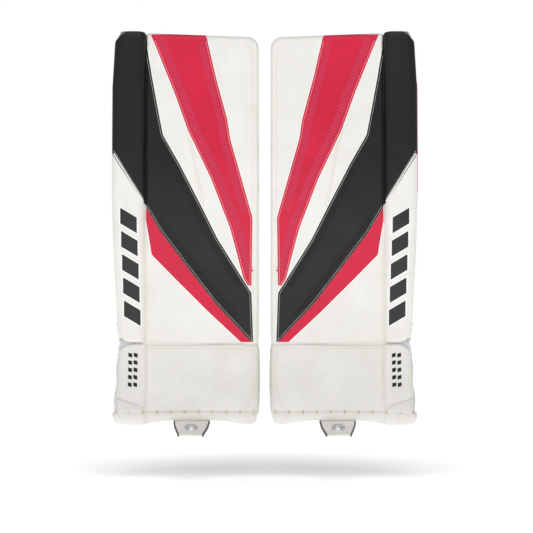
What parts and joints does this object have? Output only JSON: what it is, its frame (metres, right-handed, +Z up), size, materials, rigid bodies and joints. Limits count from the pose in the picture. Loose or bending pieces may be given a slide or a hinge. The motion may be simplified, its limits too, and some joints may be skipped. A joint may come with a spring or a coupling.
{
  "type": "goalie leg pads",
  "caption": "Pair of mirror-image ice hockey goalie leg pads with outer rolls, hinged boots, toe tabs, calf and knee flaps and straps.",
  "frame": {"origin": "under the middle of the pair, at the height of the toe tabs' tips", "axes": "+Z up the legs, +Y towards the goalie's legs (the faces look along -Y), +X towards the goalie's left pad"},
  "size_m": [0.568, 0.2849, 0.755],
  "materials": {
    "white_leather": "satin",
    "black_leather": "satin",
    "red_leather": "satin",
    "foam": "matte",
    "polyethylene": "satin",
    "nylon": "matte",
    "liner": "matte",
    "webbing": "matte",
    "chrome": "polished"
  },
  "bodies": {
    "right_shin": {"right_shin_core": "foam", "right_face_stiffener": "polyethylene", "right_face_shell": "white_leather", "right_black_band": "black_leather", "right_red_upper_band": "red_leather", "right_red_lower_band": "red_leather", "right_roll_core": "foam", "right_roll_cover_black": "black_leather", "right_roll_cover_white": "white_leather", "right_back_panel": "nylon", "right_leg_channel": "liner", "right_calf_guard": "nylon", "right_knee_base": "white_leather", "right_knee_cushion": "liner"},
    "right_boot": {"right_boot_core": "foam", "right_boot_shell": "white_leather", "right_boot_roll_core": "foam", "right_boot_roll_cover": "white_leather", "right_boot_liner": "nylon", "right_toe_welt": "white_leather", "right_boot_strap_loop": "nylon"},
    "right_toe_tab": {"right_toe_tab": "white_leather", "right_toe_rivet": "chrome"},
    "right_calf_flap": {"right_calf_flap": "white_leather"},
    "right_calf_strap": {"right_calf_strap": "webbing"},
    "right_shin_strap": {"right_shin_strap": "webbing"},
    "right_knee_wing": {"right_knee_wing": "white_leather"},
    "right_knee_strap": {"right_knee_strap": "webbing"},
    "right_boot_strap": {"right_boot_strap": "webbing"},
    "left_shin": {"left_shin_core": "foam", "left_face_stiffener": "polyethylene", "left_face_shell": "white_leather", "left_black_band": "black_leather", "left_red_upper_band": "red_leather", "left_red_lower_band": "red_leather", "left_roll_core": "foam", "left_roll_cover_black": "black_leather", "left_roll_cover_white": "white_leather", "left_back_panel": "nylon", "left_leg_channel": "liner", "left_calf_guard": "nylon", "left_knee_base": "white_leather", "left_knee_cushion": "liner"},
    "left_boot": {"left_boot_core": "foam", "left_boot_shell": "white_leather", "left_boot_roll_core": "foam", "left_boot_roll_cover": "white_leather", "left_boot_liner": "nylon", "left_toe_welt": "white_leather", "left_boot_strap_loop": "nylon"},
    "left_toe_tab": {"left_toe_tab": "white_leather", "left_toe_rivet": "chrome"},
    "left_calf_flap": {"left_calf_flap": "white_leather"},
    "left_calf_strap": {"left_calf_strap": "webbing"},
    "left_shin_strap": {"left_shin_strap": "webbing"},
    "left_knee_wing": {"left_knee_wing": "white_leather"},
    "left_knee_strap": {"left_knee_strap": "webbing"},
    "left_boot_strap": {"left_boot_strap": "webbing"}
  },
  "joints": [
    {"name": "right_boot_break", "type": "hinge", "parent": "right_shin", "child": "right_boot", "pos_m": [-0.14, -0.039, 0.1702], "axis": [1, 0, 0], "range_deg": [-15, 10]},
    {"name": "right_toe_tab_fold", "type": "hinge", "parent": "right_boot", "child": "right_toe_tab", "pos_m": [-0.131, -0.074, 0.02675], "axis": [1, 0, 0], "range_deg": [-12, 60]},
    {"name": "right_calf_flap_open", "type": "hinge", "parent": "right_shin", "child": "right_calf_flap", "pos_m": [-0.2665, 0.033, 0.31], "axis": [0, 0, 1], "range_deg": [0, 100]},
    {"name": "right_calf_strap_peel", "type": "hinge", "parent": "right_calf_flap", "child": "right_calf_strap", "pos_m": [-0.2225, 0.1455, 0.37], "axis": [0, 0, 1], "range_deg": [0, 120]},
    {"name": "right_shin_strap_peel", "type": "hinge", "parent": "right_calf_flap", "child": "right_shin_strap", "pos_m": [-0.2225, 0.1455, 0.25], "axis": [0, 0, 1], "range_deg": [0, 120]},
    {"name": "right_knee_wing_open", "type": "hinge", "parent": "right_shin", "child": "right_knee_wing", "pos_m": [-0.262, 0.022, 0.5], "axis": [0, 0, 1], "range_deg": [0, 100]},
    {"name": "right_knee_strap_peel", "type": "hinge", "parent": "right_knee_wing", "child": "right_knee_strap", "pos_m": [-0.233, 0.1405, 0.5], "axis": [0, 0, 1], "range_deg": [0, 120]},
    {"name": "right_boot_strap_peel", "type": "hinge", "parent": "right_boot", "child": "right_boot_strap", "pos_m": [-0.262, 0.007, 0.115], "axis": [0, 0, 1], "range_deg": [0, 110]},
    {"name": "left_boot_break", "type": "hinge", "parent": "left_shin", "child": "left_boot", "pos_m": [0.14, -0.039, 0.1702], "axis": [1, 0, 0], "range_deg": [-15, 10]},
    {"name": "left_toe_tab_fold", "type": "hinge", "parent": "left_boot", "child": "left_toe_tab", "pos_m": [0.131, -0.074, 0.02675], "axis": [1, 0, 0], "range_deg": [-12, 60]},
    {"name": "left_calf_flap_open", "type": "hinge", "parent": "left_shin", "child": "left_calf_flap", "pos_m": [0.2665, 0.033, 0.31], "axis": [0, 0, -1], "range_deg": [0, 100]},
    {"name": "left_calf_strap_peel", "type": "hinge", "parent": "left_calf_flap", "child": "left_calf_strap", "pos_m": [0.2225, 0.1455, 0.37], "axis": [0, 0, -1], "range_deg": [0, 120]},
    {"name": "left_shin_strap_peel", "type": "hinge", "parent": "left_calf_flap", "child": "left_shin_strap", "pos_m": [0.2225, 0.1455, 0.25], "axis": [0, 0, -1], "range_deg": [0, 120]},
    {"name": "left_knee_wing_open", "type": "hinge", "parent": "left_shin", "child": "left_knee_wing", "pos_m": [0.262, 0.022, 0.5], "axis": [0, 0, -1], "range_deg": [0, 100]},
    {"name": "left_knee_strap_peel", "type": "hinge", "parent": "left_knee_wing", "child": "left_knee_strap", "pos_m": [0.233, 0.1405, 0.5], "axis": [0, 0, -1], "range_deg": [0, 120]},
    {"name": "left_boot_strap_peel", "type": "hinge", "parent": "left_boot", "child": "left_boot_strap", "pos_m": [0.262, 0.007, 0.115], "axis": [0, 0, -1], "range_deg": [0, 110]},
    {"name": "pad_spacing", "type": "slide", "parent": "right_shin", "child": "left_shin", "axis": [1, 0, 0], "range_m": [0, 0.3]}
  ]
}
